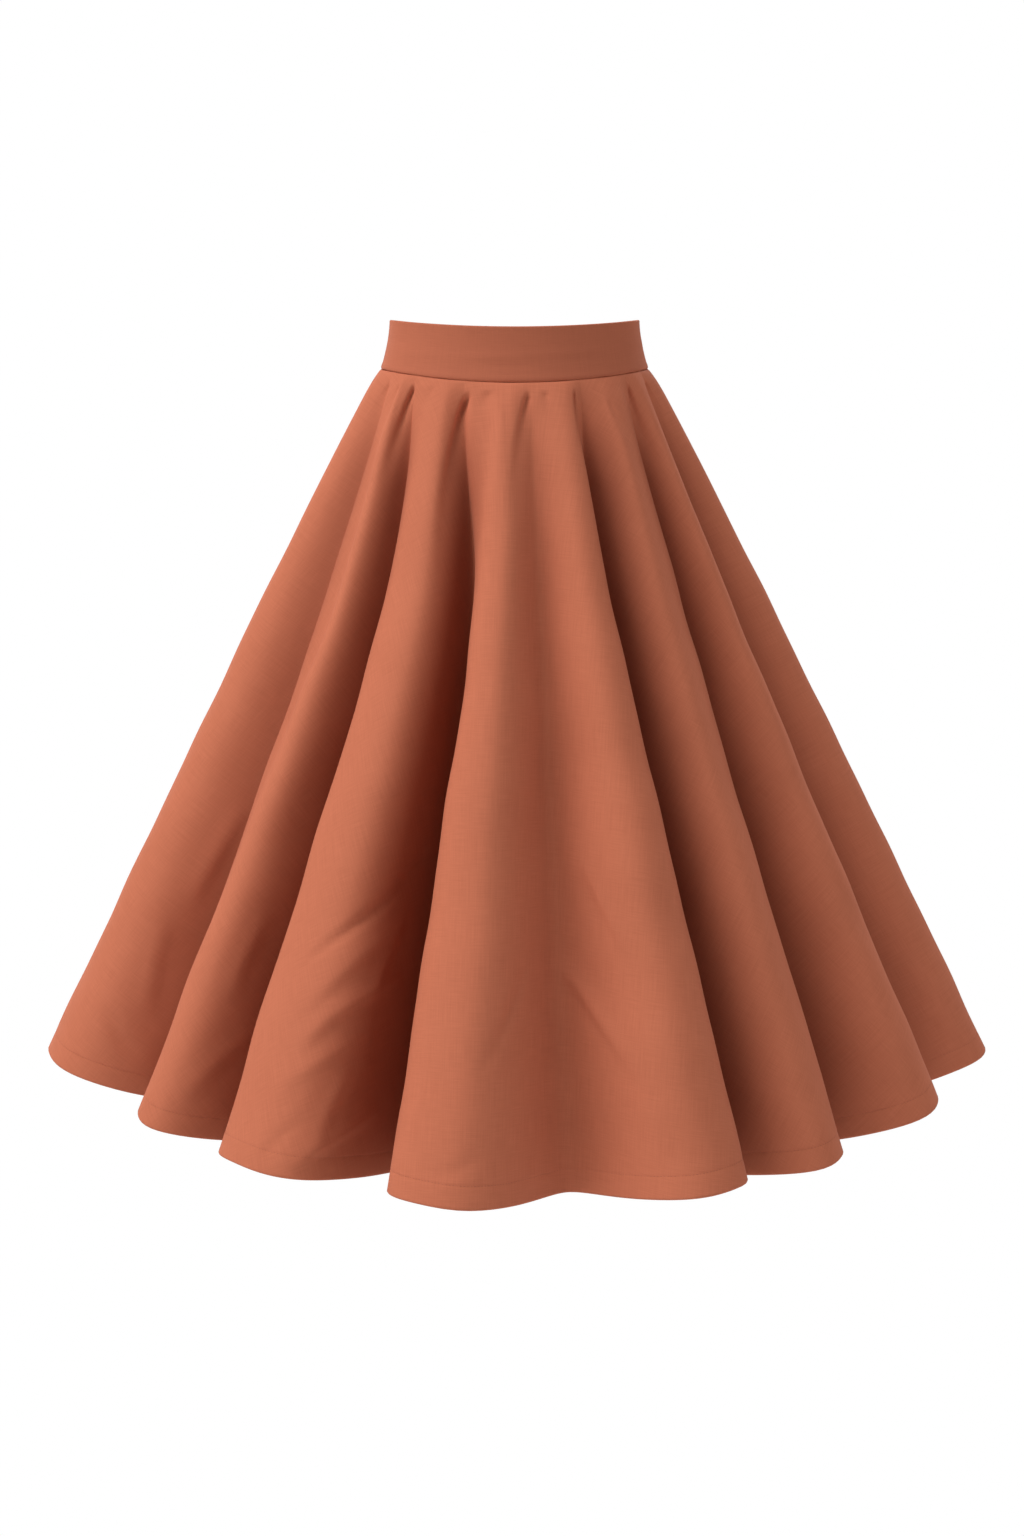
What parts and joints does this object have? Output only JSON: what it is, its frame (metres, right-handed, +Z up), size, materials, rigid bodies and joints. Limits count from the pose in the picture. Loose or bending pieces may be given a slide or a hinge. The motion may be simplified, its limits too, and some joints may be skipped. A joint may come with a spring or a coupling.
{
  "type": "circle skirt",
  "caption": "Full circle skirt in plain woven cotton, falling in deep flutes from a fitted waistband with a concealed back zip to a narrow turned hem.",
  "frame": {"origin": "centre of the waistband's ring, half way up the band at its sides, where the wearer's waist holds the skirt", "axes": "+Z up out of the waist opening; the front faces -Y; the wearer's left is +X"},
  "size_m": [0.9529, 0.86, 0.7768],
  "materials": {
    "panel_cloth": "matt terracotta plain-weave cotton",
    "band_cloth": "matt terracotta plain-weave cotton, doubled",
    "tape_cloth": "terracotta woven zip tape",
    "zip_metal": "terracotta enamel, slightly glossy"
  },
  "bodies": {
    "skirt": {"front_panel": "panel_cloth", "back_left_panel": "panel_cloth", "back_right_panel": "panel_cloth", "waistband": "band_cloth", "zip_tape": "tape_cloth", "zip_slider": "zip_metal"},
    "pull_tab": {"zip_pull_tab": "zip_metal"}
  },
  "joints": [
    {"name": "pull_tab_hinge", "type": "hinge", "parent": "skirt", "child": "pull_tab", "pos_m": [0, 0.09516, 0.00864], "axis": [1, 0, 0], "range_deg": [0, 165]}
  ]
}
